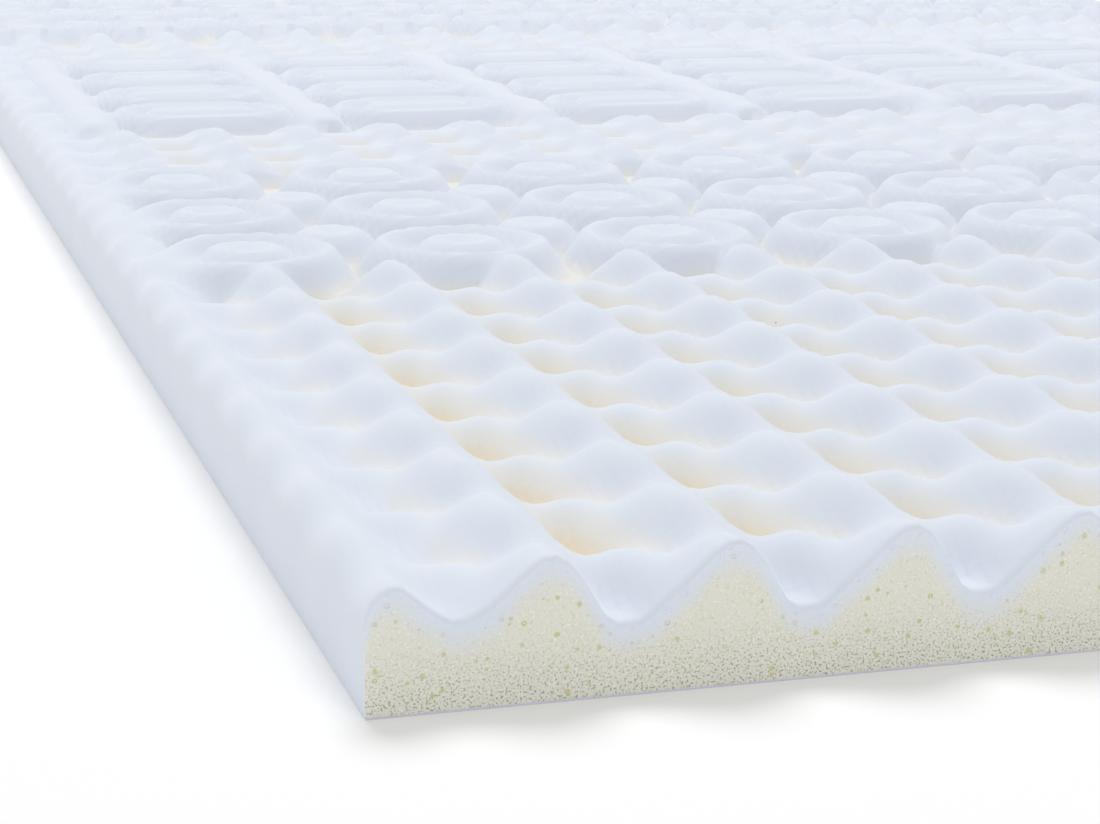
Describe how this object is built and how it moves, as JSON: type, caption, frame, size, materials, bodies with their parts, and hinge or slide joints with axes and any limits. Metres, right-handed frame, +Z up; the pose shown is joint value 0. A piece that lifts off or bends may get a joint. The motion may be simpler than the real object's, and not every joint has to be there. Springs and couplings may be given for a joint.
{
  "type": "mattress topper",
  "caption": "Uncovered foam mattress topper, a flat slab with a profile-cut top whose raised relief changes from zone to zone along its length.",
  "frame": {"origin": "middle of the flat underside", "axes": "+Z up out of the profiled top, Y along the length with the front cut end at -Y, X across the width"},
  "size_m": [1, 2, 0.042],
  "materials": {
    "soft_foam": "matt off-white open-cell foam, slightly warmer in the hollows and pale cream with open pores on the cut ends"
  },
  "bodies": {
    "root": {"foam_topper": "soft_foam"}
  },
  "joints": []
}
